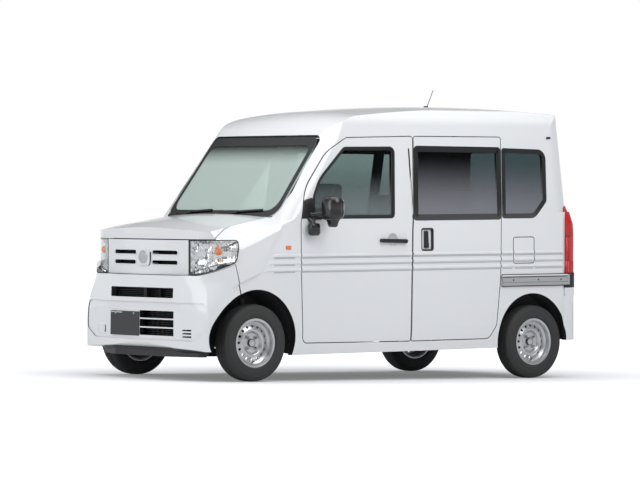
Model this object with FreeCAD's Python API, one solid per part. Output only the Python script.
"""Kei van with sliding side doors, tailgate and steel wheels, in millimetres.

The frame is +X towards the nose, +Y to the van's left, +Z up, with the origin
on the ground under the middle of the bounding box. The body is drawn level and
then set down by seat_body(), nose low, because an empty van stands high at the
back. Wheels, knuckles and axles are drawn as they stand.
"""
import math
import os

import FreeCAD
import Part

V = FreeCAD.Vector

# Driving sizes
WHEELBASE = 2520.0
TRACK = 1310.0
HALF_WIDTH = 737.0
WING_Y = 740.0
RAKE = 1.26
LIFT = 10.0
CENTRE_SHIFT = -6.8
FRONT_X = WHEELBASE / 2 + CENTRE_SHIFT
REAR_X = -WHEELBASE / 2 + CENTRE_SHIFT
WHEEL_Y = TRACK / 2

# Body heights and stations, level frame
NOSE_X = 1697.0
GRILLE_X = 1660.0
TAIL_X = -1698.0
SILL_Z = 189.0
BUMPER_Z = 228.0
CREASE_Z = 354.0
GRILLE_LOW_Z = 738.0
BONNET_EDGE_Z = 977.0
BELT_Z = 1115.0
COWL_Z = 1145.0
DRIP_Z = 1689.0
ROOF_Z = 1903.0
LOAD_Z = 515.0
CAB_FLOOR_Z = 330.0
SEAT_BOX_Z = 470.0
LOAD_DECK = (-1640.0, -860.0, 500.0, 4.0)
SCREEN_FOOT = (1052.0, 1145.0)
SCREEN_TOP = (639.0, 1686.0)
SCREEN_LEAN = (SCREEN_TOP[0] - SCREEN_FOOT[0]) / (SCREEN_TOP[1] - SCREEN_FOOT[1])
CROWN_AXIS_Z = -4050.0

# Plan radii: the bow of each end face and its round corners
NOSE_BOW = 3000.0
NOSE_CORNER = 250.0
SCREEN_BOW = 3600.0
SCREEN_CORNER = 118.0
TAIL_BOW = 14000.0
TAIL_CORNER = 225.0

# Walls and gaps
SKIN = 48.0
ROOF_WALL = 36.0
SEAM = 6.0
GLASS = 5.0

# Number plate, row frame: a blank of the Japanese size and its bolts
PLATE_X = 1692.0
PLATE_Y = -182.5
PLATE_Z = 374.0
PLATE_SIZE = (330.0, 165.0, 3.0)
PLATE_BOLTS = 210.0
PLATE_BOLT_DROP = 13.0
PLATE_BOLT_R = 3.5

# Wheel arches, level frame: centre x, centre z, radius
FRONT_ARCH = (1252.0, 308.0, 332.0)
REAR_ARCH = (-1240.0, 247.0, 324.0)
LINER = 10.0

# Wheels
TYRE_R = 262.0
TYRE_HALF = 72.5
BEAD_R = 152.4
FLANGE_R = 166.0
RIM_HALF = 59.0
BOLT_CIRCLE_R = 50.0
CENTRE_BORE_R = 28.0
VENTS = 16
VENT_CIRCLE_R = 117.0
KINGPIN_Y = 552.0

# Hinges, level frame
DOOR_PIN = (884.0, 726.0)
TAILGATE_PIN = (-1655.0, 1764.0)
BONNET_PIN = (1030.0, 1150.0)
FUEL_PIN = (-1052.0, 735.0)

# Side outlines, level frame: x, z, corner radius
FRONT_DOOR = [
    (-103, 258, 14), (-119, 1027, 400), (-169, DRIP_Z - 4, 20), (430, 1672, 60), (607, 1577, 300),
    (826, 1305, 400), (871, 1088, 60), (871, 800, 0), (857, 269, 40),
]
FRONT_DOOR_GLASS = [
    (49, 1122, 25), (9, 1604, 35), (455, 1600, 45), (690, 1385, 300), (748, 1270, 0), (762, 1122, 20),
]
MIRROR_BASE = [(866, 1117, 8), (768, 1117, 0), (754, 1262, 20), (836, 1240, 30)]
SLIDING_DOOR = [
    (-110, 258, 14), (-126, 1027, 400), (-176, DRIP_Z - 4, 20), (-988, DRIP_Z - 4, 20), (-946, 1105, 400),
    (-937, 681, 0), (-899, 350, 60), (-830, 257, 60),
]
SLIDING_GLASS = [(-146, 1113, 12), (-184, 1603, 25), (-964, 1597, 12), (-932, 1115, 12)]
QUARTER_GLASS = [(-962, 1117, 12), (-998, 1597, 12), (-1398, 1587, 60), (-1376, 1231, 30), (-1261, 1117, 80)]
FUEL_DOOR = [(-1058, 787, 18), (-1058, 973, 18), (-1256, 973, 18), (-1256, 787, 18)]
BUMPER_SPLIT = [(1441, 811), (1392, 623), (1350, 430)]
BUMPER_PANEL = [(-645, 552, 30), (645, 552, 30), (645, 360, 40), (560, 296, 60), (-560, 296, 60), (-645, 360, 40)]
PANEL_SINK = 7.0
EMBLEM_PAD = [(-74, 798, 26), (-74, 908, 26), (74, 908, 26), (74, 798, 26)]

# Wipers, front view of the screen: pivot, blade start and blade end as (y, z)
WIPERS = [((-20, 1128), (28, 1150), (470, 1172)), ((-560, 1124), (-500, 1148), (-60, 1170))]
WIPER_BLADE = 11.0

# Underneath, level frame
EXHAUST_R = 21.0
EXHAUST_RUN = [(1100, -150, 272), (1060, -150, 236), (880, -215, 236), (-900, -215, 240), (-1010, -215, 352),
               (-1300, -215, 366), (-1440, -150, 388)]
MUFFLER = (-1600.0, -1370.0, 400.0, 76.0)
TANK = [(-350, 292, 40), (-350, 475, 0), (-900, 475, 0), (-900, 330, 60), (-820, 292, 60)]
TANK_Y = (-120.0, 425.0)
CORE = (1500.0, 1536.0, 330.0, 330.0, 690.0)
CORE_FINS = 11

# Ribs pressed in the sides: bottom z, top z, front tip x
RIBS = [(853.0, 877.0, 1132.0), (805.0, 829.0, 1163.0), (757.0, 782.0, 1192.0)]
RIB_TAIL_X = -1538.0
RIB_PROUD = 5.0


def path(corners, plane="xz"):
    """Closed wire through (u, v, radius) corners; a radius gives the corner a tangent arc."""
    spot = {
        "xz": lambda u, v: V(u, 0, v),
        "xy": lambda u, v: V(u, v, 0),
        "yz": lambda u, v: V(0, u, v),
    }[plane]
    count = len(corners)
    points = [spot(c[0], c[1]) for c in corners]
    arcs = []
    for i, corner in enumerate(corners):
        before, here, after = points[i - 1], points[i], points[(i + 1) % count]
        radius = corner[2] if len(corner) > 2 else 0
        u = (before - here).normalize()
        w = (after - here).normalize()
        half = u.getAngle(w) / 2
        if radius <= 0 or half > 1.569:
            arcs.append((here, None, here))
            continue
        trim = radius / math.tan(half)
        centre = here + (u + w).normalize() * (radius / math.sin(half))
        middle = centre + (here - centre).normalize() * radius
        arcs.append((here + u * trim, middle, here + w * trim))
    edges = []
    for i in range(count):
        start, middle, end = arcs[i]
        if middle is not None:
            edges.append(Part.Arc(start, middle, end).toShape())
        following = arcs[(i + 1) % count][0]
        if (following - end).Length > 1e-4:
            edges.append(Part.LineSegment(end, following).toShape())
    return Part.Wire(edges)


def slab(corners, plane, low, high, shear=(0.0, 0.0)):
    """Outline pushed between two stations, with an optional sideways drift per mm."""
    push = {"xz": V(shear[0], 1, shear[1]), "xy": V(shear[0], shear[1], 1), "yz": V(1, shear[0], shear[1])}[plane]
    face = Part.Face(path(corners, plane) if isinstance(corners, list) else corners)
    face.translate(push * low)
    return face.extrude(push * (high - low))


def grown(corners, by, plane="xz"):
    """Outline offset outwards by a seam; negative shrinks it."""
    wire = path(corners, plane)
    return wire if abs(by) < 1e-6 else Part.Face(wire).makeOffset2D(by, 0).OuterWire


def box(x0, x1, y0, y1, z0, z1):
    """Box between two corners."""
    return Part.makeBox(x1 - x0, y1 - y0, z1 - z0, V(x0, y0, z0))


def drum(x, z, radius, y0, y1):
    """Round bar across the van."""
    return Part.makeCylinder(radius, y1 - y0, V(x, y0, z), V(0, 1, 0))


def post(x, y, radius, z0, z1):
    """Upright round bar."""
    return Part.makeCylinder(radius, z1 - z0, V(x, y, z0))


def rod(start, end, radius):
    """Round bar between two points."""
    a, b = V(*start), V(*end)
    return Part.makeCylinder(radius, (b - a).Length, a, b - a)


def other_side(shape):
    """The same piece on the other side of the van."""
    return shape.mirror(V(0, 0, 0), V(0, 1, 0))


def joined(shapes):
    """One shape from several that meet."""
    first = shapes[0]
    return first.fuse(shapes[1:]).removeSplitter() if len(shapes) > 1 else first


def group(shapes):
    """Several solids that stay apart, kept in one node."""
    solids = []
    for shape in shapes:
        solids += shape.Solids
    return Part.makeCompound(solids)


def main_solids(shape, least=2000.0):
    """Drop slivers that a cut leaves behind."""
    return Part.makeCompound([s for s in shape.Solids if s.Volume > least])


def seat_body(shape):
    """Tip the level body nose down and lift it onto its springs."""
    moved = shape.copy()
    moved.rotate(V(0, 0, 0), V(0, 1, 0), RAKE)
    moved.translate(V(CENTRE_SHIFT, 0, LIFT))
    return moved


def seated_point(x, y, z):
    """A level-frame point after seat_body()."""
    a = math.radians(RAKE)
    return (x * math.cos(a) + z * math.sin(a) + CENTRE_SHIFT, y, z * math.cos(a) - x * math.sin(a) + LIFT)


# ---------------------------------------------------------------- outer form
def end_plan(front, bow, corner, half, back):
    """Plan outline of one end: a bowed face of radius bow and round corners that meet straight sides."""
    sign = 1 if front > back else -1
    reach = math.sqrt((bow - corner) ** 2 - (half - corner) ** 2)
    cx = front - sign * (bow - reach)
    cy = half - corner
    bow_x = front - sign * bow
    k = bow / (bow - corner)
    tx, ty = bow_x + (cx - bow_x) * k, cy * k
    mx = cx + sign * corner * math.cos(math.radians(45))
    my = cy + corner * math.sin(math.radians(45))
    edges = [
        Part.Arc(V(tx, -ty, 0), V(front, 0, 0), V(tx, ty, 0)).toShape(),
        Part.Arc(V(tx, ty, 0), V(mx, my, 0), V(cx, half, 0)).toShape(),
        Part.LineSegment(V(cx, half, 0), V(back, half, 0)).toShape(),
        Part.LineSegment(V(back, half, 0), V(back, -half, 0)).toShape(),
        Part.LineSegment(V(back, -half, 0), V(cx, -half, 0)).toShape(),
        Part.Arc(V(cx, -half, 0), V(mx, -my, 0), V(tx, -ty, 0)).toShape(),
    ]
    return Part.Wire(edges)


def raised(wire, z0, z1):
    """Plan outline pushed up between two heights."""
    face = Part.Face(wire)
    face.translate(V(0, 0, z0))
    return face.extrude(V(0, 0, z1 - z0))


def side_section(inset, roof_inset):
    """Front view of the body: tucked sill, flat flank, tumblehome and rounded roof edge."""
    half = [
        (706.0 - inset, SILL_Z - 80, 0), (726.0 - inset, 290.0, 0), (730.0 - inset, CREASE_Z, 0),
        (729.0 - inset, 600.0, 0), (729.0 - inset, 930.0, 900.0), (726.0 - inset, BELT_Z + 30, 500.0),
        (668.0 - inset, DRIP_Z, 400.0), (652.0 - inset, 1790.0, 120.0), (592.0 - inset, 1868.0 - roof_inset, 70.0),
        (450.0 - inset, 1893.0 - roof_inset, 0), (0.0, 1960.0 - roof_inset, 0),
    ]
    return slab(half + [(-c[0], *c[1:]) for c in reversed(half[:-1])], "yz", -2000, 2000)


def cabin_outline(z, inset):
    """Plan outline of the cabin at one height: bowed screen, round pillars, round tail corners."""
    half = 729.5 - (z - BELT_Z) * 0.106 - inset
    nose = SCREEN_FOOT[0] + (z - SCREEN_FOOT[1]) * SCREEN_LEAN - inset * 1.6
    tail = TAIL_X - 0.5 + max(z - 1000, 0) * 0.045 + inset
    ends = []
    for front, bow, corner in ((nose, SCREEN_BOW, SCREEN_CORNER - inset * 0.5), (tail, TAIL_BOW, TAIL_CORNER - inset)):
        sign = 1 if front > 0 else -1
        reach = math.sqrt((bow - corner) ** 2 - (half - corner) ** 2)
        cx, cy = front - sign * (bow - reach), half - corner
        k = bow / (bow - corner)
        tx, ty = front - sign * bow + sign * reach * k, cy * k
        mid = corner * math.sqrt(0.5)
        ends.append(((front, 0), (tx, ty), (cx + sign * mid, cy + mid), (cx, half)))
    (nf, nt, nm, nc), (tf, tt, tm, tc) = ends
    edges = [
        Part.Arc(V(nt[0], -nt[1], z), V(nf[0], 0, z), V(nt[0], nt[1], z)).toShape(),
        Part.Arc(V(*nt, z), V(*nm, z), V(*nc, z)).toShape(),
        Part.LineSegment(V(*nc, z), V(*tc, z)).toShape(),
        Part.Arc(V(*tc, z), V(*tm, z), V(*tt, z)).toShape(),
        Part.Arc(V(*tt, z), V(tf[0], 0, z), V(tt[0], -tt[1], z)).toShape(),
        Part.Arc(V(tt[0], -tt[1], z), V(tm[0], -tm[1], z), V(tc[0], -tc[1], z)).toShape(),
        Part.LineSegment(V(tc[0], -tc[1], z), V(nc[0], -nc[1], z)).toShape(),
        Part.Arc(V(nc[0], -nc[1], z), V(nm[0], -nm[1], z), V(nt[0], -nt[1], z)).toShape(),
    ]
    return Part.Wire(edges)


def cabin(inset, roof_inset, low=BELT_Z - 100):
    """Cabin above the belt: bowed screen, round pillars, crowned roof and tail."""
    i = roof_inset
    points = [
        V(TAIL_X - 60, 0, low), V(-1668 + i * 1.3, 0, 1745), V(-1640 + i, 0, 1835 - i), V(-1540 + i * 0.5, 0, 1880 - i),
        V(-560, 0, ROOF_Z - i),
        V(250, 0, 1862 - i), V(470 - i * 0.3, 0, 1808 - i), V(SCREEN_TOP[0] - i * 0.7, 0, SCREEN_TOP[1] - i * 0.7),
        V(860, 0, 1500), V(1500, 0, low),
    ]
    edges = [
        Part.LineSegment(points[0], points[1]).toShape(),
        Part.Arc(points[1], points[2], points[3]).toShape(),
        Part.Arc(points[3], points[4], points[5]).toShape(),
        Part.Arc(points[5], points[6], points[7]).toShape(),
        Part.LineSegment(points[7], points[8]).toShape(),
        Part.LineSegment(points[8], points[9]).toShape(),
        Part.LineSegment(points[9], points[0]).toShape(),
    ]
    face = Part.Face(Part.Wire(edges))
    face.rotate(V(0, 0, CROWN_AXIS_Z), V(1, 0, 0), -9.5)
    crowned = face.revolve(V(0, 0, CROWN_AXIS_Z), V(1, 0, 0), 19)
    plan = Part.makeLoft([cabin_outline(low - 60, inset), cabin_outline(1000.0, inset), cabin_outline(1960.0, inset)],
                         True, True)
    return crowned.common(plan)


def nose_section(x, flank, crease, shoulder, middle, inset):
    """Front-view wire of the nose at one station, each pair (y, z)."""
    i = inset
    pts = [
        V(x, 900 - i, -200), V(x, 900 - i, flank - 40), V(x, WING_Y - i, flank),
    ]
    bulge = V(x, (WING_Y + crease[0]) / 2 + 9 - i, (flank + crease[1]) / 2 + 6 - i * 0.5)
    crest = V(x, crease[0] - i, crease[1] - i * 0.7)
    edge = V(x, shoulder[0] - i * 0.5, shoulder[1] - i)
    right = [V(p.x, -p.y, p.z) for p in (pts[0], pts[1], pts[2], bulge, crest, edge)]
    edges = [
        Part.LineSegment(pts[0], pts[1]).toShape(), Part.LineSegment(pts[1], pts[2]).toShape(),
        Part.Arc(pts[2], bulge, crest).toShape(), Part.LineSegment(crest, edge).toShape(),
        Part.Arc(edge, V(x, 0, middle - i), right[5]).toShape(), Part.LineSegment(right[5], right[4]).toShape(),
        Part.Arc(right[4], right[3], right[2]).toShape(), Part.LineSegment(right[2], right[1]).toShape(),
        Part.LineSegment(right[1], right[0]).toShape(), Part.LineSegment(right[0], pts[0]).toShape(),
    ]
    return Part.Wire(edges)


def nose_top(inset):
    """Bonnet, wing tops and creases as a loft through three stations."""
    stations = [
        (820.0, 1075.0, (733.0, 1143.0), (560.0, 1162.0), 1182.0),
        (1457.0, 868.0, (683.0, 980.0), (632.0, 1058.0), 1096.0),
        (1760.0, 800.0, (664.0, 905.0), (634.0, 995.0), 1035.0),
    ]
    front = Part.makeLoft([nose_section(*s, inset) for s in stations], True, True)
    return front.fuse(box(-2600, stations[0][0], -900, 900, -200, 1150))


def lower_body(inset):
    """Everything below the screen: sills, wings, bonnet and bumper forms."""
    i = inset
    side = [
        (TAIL_X + i, BUMPER_Z, 25), (TAIL_X + i, COWL_Z + 60, 0), (900, COWL_Z + 60, 0),
        (1120, 1165.0 - i, 0), (1656 - i, 1088.0 - i, 82), (GRILLE_X - 7 - i, BONNET_EDGE_Z, 0),
        (GRILLE_X + 4 - i, GRILLE_LOW_Z, 0), (1676 - i, GRILLE_LOW_Z - 4, 10), (NOSE_X - 3 - i, 560, 300),
        (NOSE_X - i, 250, 50), (1600, BUMPER_Z, 0), (1330, BUMPER_Z, 0), (1330, SILL_Z, 0), (-1330, SILL_Z, 0),
        (-1330, BUMPER_Z, 0),
    ]
    if i:
        side = [c if c[1] > 400 else (c[0], -100, 0) for c in side[:-6]] + [(NOSE_X - i, -100, 0), (TAIL_X + i, -100, 0)]
        side = side[1:]
    solid = slab(side, "xz", -900, 900)
    solid = solid.common(raised(end_plan(NOSE_X - i, NOSE_BOW, NOSE_CORNER - i, HALF_WIDTH - i, -2600.0), -200, 1400))
    solid = solid.common(nose_top(i))
    # Lamps, grille and bonnet stand back from the bumper
    upper = slab(
        [(-900, 870, 0), (-737, 830, 0), (-463, GRILLE_LOW_Z, 0), (463, GRILLE_LOW_Z, 0), (737, 830, 0), (900, 870, 0),
         (900, 1400, 0), (-900, 1400, 0)], "yz", 1300, 2000)
    back = raised(end_plan(GRILLE_X + 4 - i, NOSE_BOW, NOSE_CORNER - i, HALF_WIDTH - i, -2600.0), -200, 1400)
    return solid.cut(upper.cut(back))


def tail_plan(inset):
    """Plan of the tail with its round corners."""
    return raised(end_plan(TAIL_X + inset, TAIL_BOW, TAIL_CORNER - inset, HALF_WIDTH - inset, 2600.0), -200, 2200)


def rib(z0, z1, tip):
    """One long pressed rib, pointed at the front."""
    outline = [(RIB_TAIL_X, z0 + 2, 8), (RIB_TAIL_X, z1 - 2, 8), (tip - 30, z1, 0), (tip, z0, 0)]
    base = path(outline)
    base.translate(V(0, 700, 0))
    top = Part.Face(path(outline)).makeOffset2D(-5, 0).OuterWire
    top.translate(V(0, 729 + RIB_PROUD, 0))
    face = Part.Face(base)
    lower = face.extrude(V(0, 29, 0))
    edge = path(outline)
    edge.translate(V(0, 729, 0))
    return lower.fuse(Part.makeLoft([edge, top], True, True))


def outer_body():
    """The whole outside form, level."""
    section = side_section(0, 0)
    low = lower_body(0)
    wing = box(1000, 2000, -HALF_WIDTH, HALF_WIDTH, -100, 1400)
    low = low.common(section).fuse(low.common(wing).common(nose_pad()))
    cab = cabin(0, 0).common(section)
    form = low.fuse(cab).common(tail_plan(0))
    ribs = [rib(*r) for r in RIBS]
    return form.fuse(ribs + [other_side(r) for r in ribs]).removeSplitter()


def nose_pad():
    """Where the wings swell past the flank: ahead of a slanting line, above the arch."""
    outline = [(2000, 1100, 0), (1018, 1100, 0), (1137, 919, 0), (1228, 752, 40), (1387, 690, 120), (1500, 640, 0),
               (1500, -100, 0), (2000, -100, 0)]
    return slab(outline, "xz", -900, 900)


def hollow():
    """Everything inside the shell: cabin, engine bay and the open underside."""
    cab = cabin(SKIN, ROOF_WALL, BELT_Z - 250).common(side_section(SKIN, ROOF_WALL))
    low = lower_body(SKIN).common(side_section(SKIN, 0)).common(tail_plan(SKIN))
    return cab.common(tail_plan(SKIN)).fuse(low).removeSplitter()


# ---------------------------------------------------------------- regions
def fender_zone():
    """Side view of the front wings, ahead of the doors and under the screen pillars."""
    return slab([(850, 236, 0), (850, 1118, 0), (836, 1205, 0), (925, 1252, 0), (1100, 1252, 0),
                 (1800, 1252, 0), (1800, 236, 0)], "xz", -900, 900)


def bumper_zone(by=0.0):
    """Side view of the front bumper, under lamps and grille and ahead of the wings."""
    top = GRILLE_LOW_Z - 3 + by
    return slab([(1900, -100, 0), (1900, top, 0), (1640, top, 0), *[(x - by, z + by, 0) for x, z in BUMPER_SPLIT],
                 (1300, 330, 0), (1300, -100, 0)], "xz", -900, 900)


def lamp_zone(y0, y1, by=0.0):
    """Side view of a headlamp, between two distances from the middle."""
    outline = [(1900, 974, 0), (1399, 974, 14), (1428, 828, 40), (1643, GRILLE_LOW_Z + 3, 30), (1900, GRILLE_LOW_Z + 3, 0)]
    return slab(Part.Wire(grown(outline, by)) if by else outline, "xz", y0, y1)


def bonnet_zone(by=0.0):
    """Plan of the bonnet, wider at the nose."""
    return slab([(1000, -529 - by, 0), (1300, -600 - by, 0), (1560, -661 - by, 0), (1900, -690 - by, 0),
                 (1900, 690 + by, 0), (1560, 661 + by, 0), (1300, 600 + by, 0), (1000, 529 + by, 0)], "xy", 940, 1300)


def screen_zone(ahead, low=1000.0, high=1960.0):
    """Everything behind the screen's plane, moved forward by ahead."""
    zone = Part.makeLoft([cabin_outline(low, 0), cabin_outline(high, 0)], True, True)
    zone.translate(V(ahead, 0, 0))
    return zone


def screen_opening(by=0.0):
    """Front view of the screen."""
    return slab([(-630 - by, 1128 - by, 70), (-606 - by, DRIP_Z + by, 60), (606 + by, DRIP_Z + by, 60),
                 (630 + by, 1128 - by, 70)], "yz", 500, 1300)


def tailgate_zone(by=0.0):
    """Rear view of the tailgate."""
    return slab([(-592 - by, 506 - by, 30), (-592 - by, 1150, 0), (-548 - by, 1752 + by, 60), (548 + by, 1752 + by, 60),
                 (592 + by, 1150, 0), (592 + by, 506 - by, 30)], "yz", -1900, -1560)


def tail_lamp_zone(by=0.0):
    """Rear view of the left tail lamp, beside the tailgate."""
    return slab([(602 - by, 704 - by, 8), (602 - by, 1192 + by, 8), (690, 1192 + by, 30), (700 + by, 1150, 0),
                 (712 + by, 704 - by, 8)], "yz", -1900, -1560)


def rear_bumper_zone():
    """Side view of the rear bumper, rising at its corners."""
    low = slab([(-1900, -100, 0), (-1900, 500, 0), (-1504, 500, 0), (-1470, 480, 0), (-1440, -100, 0)], "xz", -900, 900)
    corner = slab([(-1900, 400, 0), (-1900, 600, 0), (-1611, 594, 0), (-1504, 519, 0), (-1480, 400, 0)], "xz", 602, 900)
    return joined([low, corner, other_side(corner)])


def arch_space(arch, y0, y1=900.0):
    """Room for a wheel on the left."""
    return drum(arch[0], arch[1], arch[2], y0, y1)


# ---------------------------------------------------------------- pieces
def glass_sheet(outline, depth=1.0, left=True):
    """Side window that follows the flank, depth below its surface."""
    sheet = side_section(depth, 0).cut(side_section(depth + GLASS, 0))
    sheet = sheet.common(slab(outline, "xz", 400, 900))
    return main_solids(sheet) if left else other_side(main_solids(sheet))


def front_door(shell):
    """Left front door with its window opening and handle dish."""
    door = shell.common(slab(grown(FRONT_DOOR, -SEAM / 2), "xz", 560, 900))
    door = door.cut(slab(FRONT_DOOR_GLASS, "xz", 560, 900))
    dish = Part.makeSphere(62, V(60, 770, 966))
    return main_solids(door.cut(dish))


def sliding_door(shell):
    """Left sliding door with its window opening and handle recess."""
    door = shell.common(slab(grown(SLIDING_DOOR, -SEAM / 2), "xz", 560, 900))
    door = door.cut(slab(SLIDING_GLASS, "xz", 560, 900))
    return main_solids(door.cut(slab([(-201, 886, 18), (-201, 1043, 18), (-311, 1043, 18), (-311, 886, 18)], "xz", 712, 900)))


def door_mirror():
    """Black mirror on its arm, with the under-mirror and the triangle it stands on."""
    base = side_section(-4, 0).cut(side_section(10, 0)).common(slab(MIRROR_BASE, "xz", 600, 900))
    head = slab([(748, 0, 22), (742, 168, 36), (640, 178, 30), (626, 20, 22)], "xy", 1106, 1268)
    head.translate(V(0, 752, 0))
    head = head.common(slab([(752, 1106, 34), (914, 1100, 34), (926, 1262, 34), (760, 1272, 34)], "yz", 500, 900))
    arm = slab([(700, 1130, 10), (742, 1090, 16), (790, 1118, 16), (786, 1150, 10)], "yz", 690, 760)
    small = slab([(742, 1006, 18), (834, 1000, 18), (838, 1080, 18), (746, 1084, 18)], "yz", 730, 800)
    stalk = slab([(700, 1112, 8), (760, 1070, 8), (800, 1076, 8), (760, 1122, 8)], "yz", 744, 786)
    return joined([main_solids(base).Solids[0], head, arm, small, stalk])


def door_handle():
    """Bar handle across its dish."""
    bar = slab([(-62, 940, 12), (-62, 968, 12), (178, 974, 12), (178, 948, 12)], "xz", 727, 748)
    lock = drum(150, 960, 12, 712, 738)
    return joined([bar.cut(box(0, 112, 700, 737, 930, 990)), lock])


def seat(width, x_hip, y, z_base, thickness, cushion, back, tilt):
    """Seat as cushion, back and head restraint."""
    half = width / 2
    base = slab([(x_hip - 70, z_base, 20), (x_hip - 70, z_base + thickness, 20), (x_hip + cushion, z_base + thickness + 20, 50),
                 (x_hip + cushion, z_base, 30)], "xz", y - half, y + half)
    lean = math.tan(math.radians(tilt))
    top = z_base + thickness + back
    rest = slab([(x_hip + 10, z_base + thickness * 0.6, 30), (x_hip - 105, z_base + thickness * 0.6, 30),
                 (x_hip - 95 - back * lean, top, 40), (x_hip - back * lean + 5, top + 8, 30)], "xz", y - half, y + half)
    head = slab([(0, 0, 30), (0, 150, 35), (85, 155, 35), (90, 0, 30)], "xz", y - 120, y + 120)
    head.translate(V(x_hip - 96 - (back + 30) * lean, 0, top + 26))
    post_x = x_hip - 50 - back * lean
    posts = [post(post_x, y + side * 60, 6, top - 20, top + 60) for side in (-1, 1)]
    return joined([base, rest, head] + posts)


def wiper(pivot, start, end):
    """Arm and blade that lie just ahead of the screen."""
    def strip(a, b, low, high):
        half = [(a[0], a[1] - low, 3), (a[0], a[1] + high, 3), (b[0], b[1] + high, 3), (b[0], b[1] - low, 3)]
        return slab(half, "yz", 900, 1200)

    middle = ((start[0] + end[0]) / 2, (start[1] + end[1]) / 2)
    blade = strip(start, end, 0, WIPER_BLADE).common(screen_zone(14).cut(screen_zone(3)))
    arm = strip(pivot, middle, 5, 9).common(screen_zone(24).cut(screen_zone(11)))
    foot = SCREEN_FOOT[0] + (pivot[1] - SCREEN_FOOT[1]) * SCREEN_LEAN - pivot[0] ** 2 / (2 * SCREEN_BOW)
    hub = Part.makeCylinder(13, 30, V(foot - 4, pivot[0], pivot[1] - 4), V(0.6, 0, 0.8)).common(screen_zone(21))
    return joined([blade, arm.common(screen_zone(21)), hub])


def pipe(points, radius):
    """Round pipe through points, with a ball at each bend."""
    runs = [rod(a, b, radius) for a, b in zip(points, points[1:])]
    return joined(runs + [Part.makeSphere(radius, V(*c)) for c in points[1:-1]])


def exhaust():
    """Pipe from the engine, muffler behind the axle and short tail pipe."""
    x0, x1, z, radius = MUFFLER
    can = Part.makeCylinder(radius, 520, V((x0 + x1) / 2, -330, z), V(0, 1, 0))
    can = can.makeFillet(18, [e for e in can.Edges if e.Curve.TypeId == "Part::GeomCircle"])
    tail = pipe([(x0 + 65, -200, z - 40), (x0 - 10, -200, z - 90), (x0 - 24, -200, z - 150)], 17)
    straps = [box(x - 8, x + 8, y - 8, y + 8, low, LOAD_Z - 40) for x, y, low in ((-1485, -250, z + 60), (-1485, 100, z + 60),
                                                                             (-1150, -215, 370))]
    return joined([pipe(EXHAUST_RUN, EXHAUST_R), can, tail] + straps)


def fuel_tank():
    """Flat tank under the middle of the floor, pressed with two ribs and held by two bands."""
    tank = slab(TANK, "xz", *TANK_Y)
    tank = tank.makeFillet(24, [e for e in tank.Edges if abs(e.BoundBox.YLength) < 1e-6 and e.BoundBox.ZMax < 474])
    bands = [slab([(x - 16, 286, 0), (x - 16, 475, 0), (x + 16, 475, 0), (x + 16, 286, 0)], "xz", TANK_Y[0] - 6, TANK_Y[1] + 6)
             for x in (-470, -740)]
    return joined([tank] + bands)


def radiator():
    """Finned core in its frame, standing on the tray behind the grille."""
    x0, x1, half, low, high = CORE
    core = box(x0, x1, -half, half, low, high).cut(box(x1 - 9, x1 + 1, -half + 30, half - 30, low + 24, high - 24))
    pitch = (high - low - 48) / CORE_FINS
    fins = [box(x1 - 10, x1 - 3, -half + 29, half - 29, low + 24 + pitch * (n + 0.4), low + 24 + pitch * (n + 0.6))
            for n in range(CORE_FINS)]
    feet = [box(x0, x1, y - 20, y + 20, 226, low + 5) for y in (-260, 260)]
    return joined([core] + fins + feet)


def interior_mirror():
    """Mirror on a stalk from the screen, turned a little to the driver."""
    head = slab([(-116, -26, 22), (-120, 22, 18), (120, 22, 18), (116, -26, 22)], "yz", -16, 14)
    head.rotate(V(0, 0, 0), V(0, 0, 1), -9)
    head.translate(V(572, 0, 1527))
    return joined([head, rod((572, 0, 1527), (688, 0, 1646), 7), rod((664, 0, 1614), (690, 0, 1634), 18)])


def wheel_disc():
    """Pressed steel wheel about the Y axis, outer face towards +Y."""
    barrel = [(-59, 166), (-55, 166), (-52, 156), (-40, 152.4), (-26, 151), (-18, 136), (14, 136), (24, 150),
              (40, 152.4), (51, 156), (55, 166), (59, 166), (59, 161), (56, 151), (40, 146.5), (28, 144), (19, 130),
              (-22, 130), (-31, 145), (-40, 147), (-56, 151), (-59, 161)]
    face = Part.Face(Part.makePolygon([V(0, t, r) for t, r in barrel + barrel[:1]]))
    rim = face.revolve(V(0, 0, 0), V(0, 1, 0), 360)
    spokes = [(10, CENTRE_BORE_R, 0), (10, 66, 6), (30, 80, 14), (30, 94, 20), (14, 122, 10), (14, 131, 0), (9, 131, 0),
              (9, 120, 12), (25, 91, 14), (25, 82, 10), (5, 68, 10), (5, CENTRE_BORE_R, 0)]
    plate = path([(t, r, k) for t, r, k in spokes], "yz")
    disc = Part.Face(plate).revolve(V(0, 0, 0), V(0, 1, 0), 360)
    holes = []
    for n in range(VENTS):
        a = 2 * math.pi * n / VENTS
        holes.append(drum(VENT_CIRCLE_R * math.sin(a) * 0.96, VENT_CIRCLE_R * math.cos(a) * 0.96, 9.0, -10, 60))
    for n in range(4):
        a = math.pi / 4 + math.pi / 2 * n
        holes.append(drum(BOLT_CIRCLE_R * math.sin(a), BOLT_CIRCLE_R * math.cos(a), 6.5, -10, 60))
    return rim.fuse(disc.cut(holes)).removeSplitter()


def tyre():
    """Plain tyre about the Y axis, with grooves left to the dressing."""
    half = [(0, TYRE_R, 0), (50, TYRE_R - 2, 12), (66, 246, 16), (TYRE_HALF, 205, 30), (60, 168, 0), (54.4, FLANGE_R + 0.3, 0),
            (50.6, 156.4, 0)]
    section = half + [(-t, r, k) for t, r, k in reversed(half[1:])]
    return Part.Face(path(section, "yz")).revolve(V(0, 0, 0), V(0, 1, 0), 360)


def wheelhouse(arch, y_wall, y_out):
    """Pressed house over one left wheel."""
    ring = drum(arch[0], arch[1], arch[2] + LINER, y_wall, y_out).cut(drum(arch[0], arch[1], arch[2], y_wall + LINER, y_out + 1))
    return ring


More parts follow.
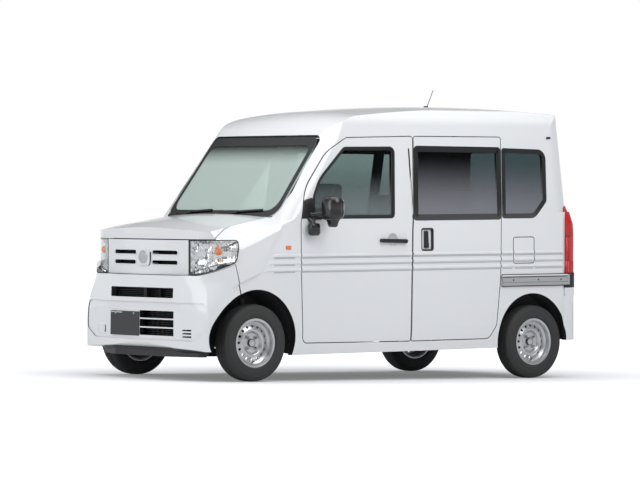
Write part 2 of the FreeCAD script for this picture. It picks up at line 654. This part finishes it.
def floor(inside):
    """Floor, load floor, firewall and wheelhouses."""
    plates = [
        box(-340, 1004, -700, 700, CAB_FLOOR_Z - 40, CAB_FLOOR_Z), box(-1660, -300, -700, 700, LOAD_Z - 40, LOAD_Z),
        box(-340, -300, -700, 700, CAB_FLOOR_Z - 40, LOAD_Z), box(1000, 1030, -700, 700, CAB_FLOOR_Z - 60, 1120),
        box(-300, 330, -600, 600, CAB_FLOOR_Z - 20, SEAT_BOX_Z).cut(box(-301, 306, -580, 580, 0, SEAT_BOX_Z - 20)),
        box(*LOAD_DECK[:2], -LOAD_DECK[2], LOAD_DECK[2], LOAD_Z, LOAD_Z + LOAD_DECK[3]),
    ]
    houses = [wheelhouse(FRONT_ARCH, 405, 700), wheelhouse(REAR_ARCH, 545, 700)]
    houses = [h.common(box(-2000, 2000, 0, 900, 200, 900)) for h in houses]
    pan = joined(plates + houses + [other_side(h) for h in houses])
    spaces = [arch_space(FRONT_ARCH, 405 + LINER), arch_space(REAR_ARCH, 545 + LINER)]
    spaces += [box(FRONT_ARCH[0] - 120, FRONT_ARCH[0] + 120, 395, 420, 0, 300),
               box(REAR_ARCH[0] - 130, REAR_ARCH[0] + 90, 440, 560, 0, 345)]
    pan = pan.common(inside).cut(spaces + [other_side(s) for s in spaces])
    return main_solids(pan.removeSplitter(), 1e5)


def knuckle():
    """Left hub carrier with its strut, turning about the king-pin."""
    hub = drum(FRONT_X, TYRE_R, 58, 560, WHEEL_Y + 4)
    spigot = drum(FRONT_X, TYRE_R, CENTRE_BORE_R - 0.4, 560, WHEEL_Y + 22)
    carrier = slab([(FRONT_X - 45, 190, 20), (FRONT_X - 55, 330, 30), (FRONT_X + 55, 330, 30), (FRONT_X + 45, 190, 20)],
                   "xz", 532, 566)
    strut = post(FRONT_X, KINGPIN_Y, 22, 300, 560)
    return joined([hub, spigot, carrier, strut])


def build():
    """Every node, keyed by name, in the row frame."""
    outer = outer_body()
    inside = hollow()
    spaces = [arch_space(FRONT_ARCH, 400), arch_space(REAR_ARCH, 540)]
    spaces += [other_side(s) for s in spaces]
    shell = outer.cut([inside] + spaces)
    nodes = {}

    # Openings
    doors = [slab(grown(FRONT_DOOR, SEAM / 2), "xz", 560, 900), slab(grown(SLIDING_DOOR, SEAM / 2), "xz", 560, 900)]
    doors += [other_side(d) for d in doors]
    quarter = slab(QUARTER_GLASS, "xz", 560, 900)
    roof_zone = box(-1900, 900, -900, 900, DRIP_Z + 3, 2100)
    lamps = lamp_zone(463, 900, 3.0)
    tails = tail_lamp_zone(2.0)
    screen = screen_opening()
    nose = box(1040, 1900, -900, 900, -200, 1400)
    bonnet_hole = bonnet_zone(SEAM / 2).common(box(1000, 1900, -900, 900, BONNET_EDGE_Z - 1, 1400))
    cowl_line = screen_zone(24)

    # Nose pieces
    bonnet = shell.common(bonnet_zone(-SEAM / 2)).common(box(1040, 1900, -900, 900, BONNET_EDGE_Z + 4, 1400))
    nodes["bonnet"] = main_solids(bonnet.cut(screen_zone(30)), 1e5)
    grille = shell.common(box(1540, 1900, -460, 460, GRILLE_LOW_Z + 1, BONNET_EDGE_Z - 3))
    slots = [slab([(s * 95, z - 13, 12), (s * 95, z + 13, 12), (s * 358, z + 13, 12), (s * 358, z - 13, 12)], "yz", 1500, 1900)
             for s in (-1, 1) for z in (821.0, 889.0)]
    pad = slab(EMBLEM_PAD, "yz", GRILLE_X - 30, GRILLE_X + 9)
    nodes["grille_panel"] = main_solids(grille.cut(slots + [bumper_zone(3)]).fuse(pad), 1e5)
    lamp = shell.common(lamp_zone(466, 900))
    nodes["headlamps"] = group([main_solids(lamp, 1e5), main_solids(shell.common(other_side(lamp_zone(466, 900))), 1e5)])
    bumper = shell.common(bumper_zone())
    cuts = [slab([(-356, 582, 6), (-356, 650, 6), (356, 650, 6), (356, 582, 6)], "yz", 1500, 1900)]
    cuts += [slab([(-15, z, 4), (-15, z + 50, 4), (356, z + 50, 4), (356, z, 4)], "yz", 1500, 1900) for z in (325, 384, 443)]
    cuts += [slab([(445, z, 3), (445, z + 11, 3), (532, z + 11, 3), (532, z, 3)], "yz", 1500, 1900) for z in (318, 340, 362)]
    cuts.append(slab([(-537, 328, 6), (-537, 386, 6), (-424, 386, 6), (-424, 328, 6)], "yz", 1650, 1900))
    sunk = outer.copy()
    sunk.translate(V(-PANEL_SINK, 0, 0))
    cuts.append(slab(BUMPER_PANEL, "yz", 1500, 1900).cut(sunk))
    nodes["front_bumper"] = main_solids(bumper.cut(cuts), 1e5)
    wings = shell.common(fender_zone()).cut([bumper_zone(4), lamps, other_side(lamps), bonnet_hole, screen, roof_zone,
                                             box(1560, 1900, -466, 466, 0, 1400)])
    wings = wings.cut(doors).cut(box(850, 1300, -590, 590, 900, 1400).common(cowl_line))
    nodes["front_fenders"] = main_solids(wings, 1e5)

    # Sides, roof and tail
    side = shell.cut([fender_zone(), roof_zone, screen, tailgate_zone(SEAM / 2), rear_bumper_zone(), nose,
                      tails, other_side(tails), quarter, other_side(quarter)] + doors)
    fuel_hole = slab(grown(FUEL_DOOR, SEAM / 2), "xz", 690, 900)
    halves = {"left": box(-1900, 1900, 0, 900, 0, 2000), "right": box(-1900, 1900, -900, 0, 0, 2000)}
    left = side.common(halves["left"]).cut(fuel_hole)
    nodes["side_panel_left"] = main_solids(left, 1e5)
    nodes["side_panel_right"] = main_solids(side.common(halves["right"]), 1e5)
    nodes["roof_panel"] = main_solids(shell.common(roof_zone).cut(tailgate_zone(SEAM / 2)), 1e5)
    gate = shell.common(tailgate_zone(-SEAM / 2))
    rear_window = slab([(-500, 1120, 40), (-470, 1620, 60), (470, 1620, 60), (500, 1120, 40)], "yz", -1900, -1500)
    nodes["tailgate"] = main_solids(gate.cut(rear_window), 1e5)
    pane = cabin(0, 0).cut(cabin(GLASS, 0)).common(rear_window)
    nodes["tailgate_glass"] = main_solids(pane, 1e4)
    nodes["rear_bumper"] = main_solids(shell.common(rear_bumper_zone()), 1e5)
    tail = shell.common(tail_lamp_zone())
    nodes["tail_lamps"] = group([main_solids(tail, 1e4), main_solids(shell.common(other_side(tail_lamp_zone())), 1e4)])
    glass = cabin(0, 0).cut(cabin(GLASS / 1.6, 0)).common(screen_opening(-1)).common(box(560, 1300, -900, 900, 1000, 2000))
    nodes["windshield"] = main_solids(glass, 1e5)
    cowl = shell.common(cowl_line).common(box(990, 1200, -560, 560, 1000, 1200)).cut(cabin(0, 0))
    nodes["cowl_panel"] = main_solids(cowl, 1e4)
    wipers = [wiper(*w).cut([shell, nodes["windshield"], nodes["cowl_panel"]]) for w in WIPERS]
    nodes["wipers"] = group([main_solids(w, 5e3) for w in wipers])

    # Doors
    door = front_door(shell)
    slider = sliding_door(shell)
    fuel = outer.cut(side_section(12, 0)).common(slab(grown(FUEL_DOOR, -SEAM / 2), "xz", 690, 900))
    nodes["fuel_door"] = main_solids(fuel, 1e4)
    mirror, handle = door_mirror(), door_handle()
    door = main_solids(door.cut([mirror, handle]))
    window = main_solids(glass_sheet(FRONT_DOOR_GLASS, 9.0).cut(mirror))
    for name, turn in (("left", lambda s: s), ("right", other_side)):
        nodes["front_door_" + name] = turn(door)
        nodes["front_door_glass_" + name] = turn(window)
        nodes["door_mirror_" + name] = turn(mirror)
        nodes["door_handle_" + name] = turn(handle)
        nodes["sliding_door_" + name] = turn(slider)
        nodes["side_glass_" + name] = turn(group([glass_sheet(SLIDING_GLASS, 0.5), glass_sheet(QUARTER_GLASS, 0.5)]))
    rail = slab([(-940, 628, 0), (-940, 702, 0), (-1590, 702, 0), (-1590, 628, 0)], "xz", 721, 742)
    rail = rail.cut(slab([(-930, 645, 0), (-930, 680, 0), (-1570, 680, 0), (-1570, 645, 0)], "xz", 731, 760))
    nodes["slide_rails"] = group([rail.cut(side_section(0, 0)), other_side(rail.cut(side_section(0, 0)))])

    # Inside
    nodes["floor_pan"] = floor(inside)
    dash = slab([(560, 880, 60), (560, 1040, 60), (720, 1110, 60), (990, 1118, 20), (990, 700, 40), (700, 700, 120)], "xz",
                -640, 640)
    nodes["dashboard"] = main_solids(dash.common(inside), 1e5)
    wheel = Part.makeTorus(180, 14, V(0, 0, 0), V(0, 0, 1))
    hubs = [post(0, 0, 55, -30, 10)] + [rod((0, 0, -6), (170 * math.cos(a), 170 * math.sin(a), -4), 13)
                                        for a in (0.2, math.pi - 0.2, 1.5 * math.pi)]
    steering = joined([wheel] + hubs)
    steering.rotate(V(0, 0, 0), V(0, 0, 1), -90)
    steering.rotate(V(0, 0, 0), V(0, 1, 0), -48)
    steering.translate(V(470, -330, 1010))
    column = rod((500, -330, 985), (620, -330, 880), 32).cut(dash)
    nodes["steering_wheel"] = joined([steering, column])
    nodes["driver_seat"] = seat(480, -20, -330, SEAT_BOX_Z, 146, 480, 560, 14)
    nodes["passenger_seat"] = seat(440, -20, 330, SEAT_BOX_Z, 106, 440, 520, 12)
    nodes["rear_seat"] = group([seat(520, -760, side * 290, LOAD_Z, 150, 400, 480, 12) for side in (-1, 1)])
    engine = slab([(1080, 270, 60), (1070, 620, 60), (1180, 800, 60), (1420, 800, 80), (1480, 560, 60), (1470, 270, 60)],
                  "xz", -320, 320)
    nodes["engine_block"] = engine
    tray = slab([(1690, -300, 100), (1690, 300, 100), (1600, 560, 60), (1500, 600, 0), (1395, 380, 0), (1395, -380, 0),
                 (1500, -600, 0), (1600, -560, 60)], "xy", 186, 226)
    nodes["under_tray"] = tray.cut(spaces + [nodes["floor_pan"]])
    antenna = joined([rod((-862, 0, 1890), (-930, 0, 2030), 2.5), post(-860, 0, 16, 1895, 1915)])
    nodes["roof_antenna"] = main_solids(antenna.cut(shell))
    nodes["exhaust"] = main_solids(exhaust().cut([engine, nodes["floor_pan"]]), 1e5)
    nodes["fuel_tank"] = fuel_tank().cut(nodes["floor_pan"])
    nodes["radiator"] = radiator().cut([nodes["under_tray"]])
    nodes["interior_mirror"] = main_solids(interior_mirror().common(screen_zone(-5)).cut(shell), 2e4)

    nodes = {name: seat_body(shape) for name, shape in nodes.items()}

    # Number plate on a flat pad
    pad = box(PLATE_X - 40, PLATE_X, PLATE_Y - 158, PLATE_Y + 158, PLATE_Z - 76, PLATE_Z + 76)
    plate = box(PLATE_X, PLATE_X + PLATE_SIZE[2], PLATE_Y - PLATE_SIZE[0] / 2, PLATE_Y + PLATE_SIZE[0] / 2,
                PLATE_Z - PLATE_SIZE[1] / 2, PLATE_Z + PLATE_SIZE[1] / 2)
    bolts = [Part.makeCylinder(PLATE_BOLT_R, 36, V(PLATE_X - 30, PLATE_Y + side * PLATE_BOLTS / 2,
                                                   PLATE_Z + PLATE_SIZE[1] / 2 - PLATE_BOLT_DROP), V(1, 0, 0))
             for side in (-1, 1)]
    recess = box(PLATE_X, PLATE_X + 60, PLATE_Y - 168, PLATE_Y + 168, PLATE_Z - 86, PLATE_Z + 86)
    nodes["front_bumper"] = nodes["front_bumper"].fuse(pad).cut([recess] + bolts).removeSplitter()
    nodes["number_plate_blank"] = plate.cut(bolts)

    # Running gear, as it stands
    disc, rubber = wheel_disc(), tyre()
    for place, x in (("front", FRONT_X), ("rear", REAR_X)):
        for name, turn in (("left", lambda s: s), ("right", other_side)):
            for kind, shape in (("wheel", disc), ("tyre", rubber)):
                copy = shape.copy()
                copy.translate(V(x, WHEEL_Y, TYRE_R))
                nodes[f"{kind}_{place}_{name}"] = turn(copy)
    nodes["knuckle_left"] = knuckle()
    nodes["knuckle_right"] = other_side(knuckle())
    arm = slab([(FRONT_X - 60, 300, 0), (FRONT_X - 18, 545, 14), (FRONT_X + 18, 545, 14), (FRONT_X + 60, 300, 0)], "xy", 160, 184)
    beam = box(FRONT_X - 130, FRONT_X + 120, -320, 320, 158, 205)
    nodes["front_subframe"] = joined([beam, arm, other_side(arm)])
    hub = joined([drum(REAR_X, TYRE_R, 60, 515, WHEEL_Y + 4), drum(REAR_X, TYRE_R, CENTRE_BORE_R - 0.4, 515, WHEEL_Y + 22)])
    trail = slab([(REAR_X - 40, 240, 20), (REAR_X - 40, 290, 20), (-880, 330, 20), (-880, 285, 20)], "xz", 450, 516)
    cross = drum(REAR_X + 140, 285, 38, -460, 460)
    nodes["rear_axle"] = joined([hub, trail, cross, other_side(trail), other_side(hub)])
    return nodes


if __name__ == "__main__":
    os.makedirs("parts", exist_ok=True)
    for name, shape in build().items():
        solids = shape.Solids
        print(name, len(solids), shape.isValid(), round(sum(s.Volume for s in solids) / 1e6, 2))
        shape.exportStep(f"parts/{name}.step")
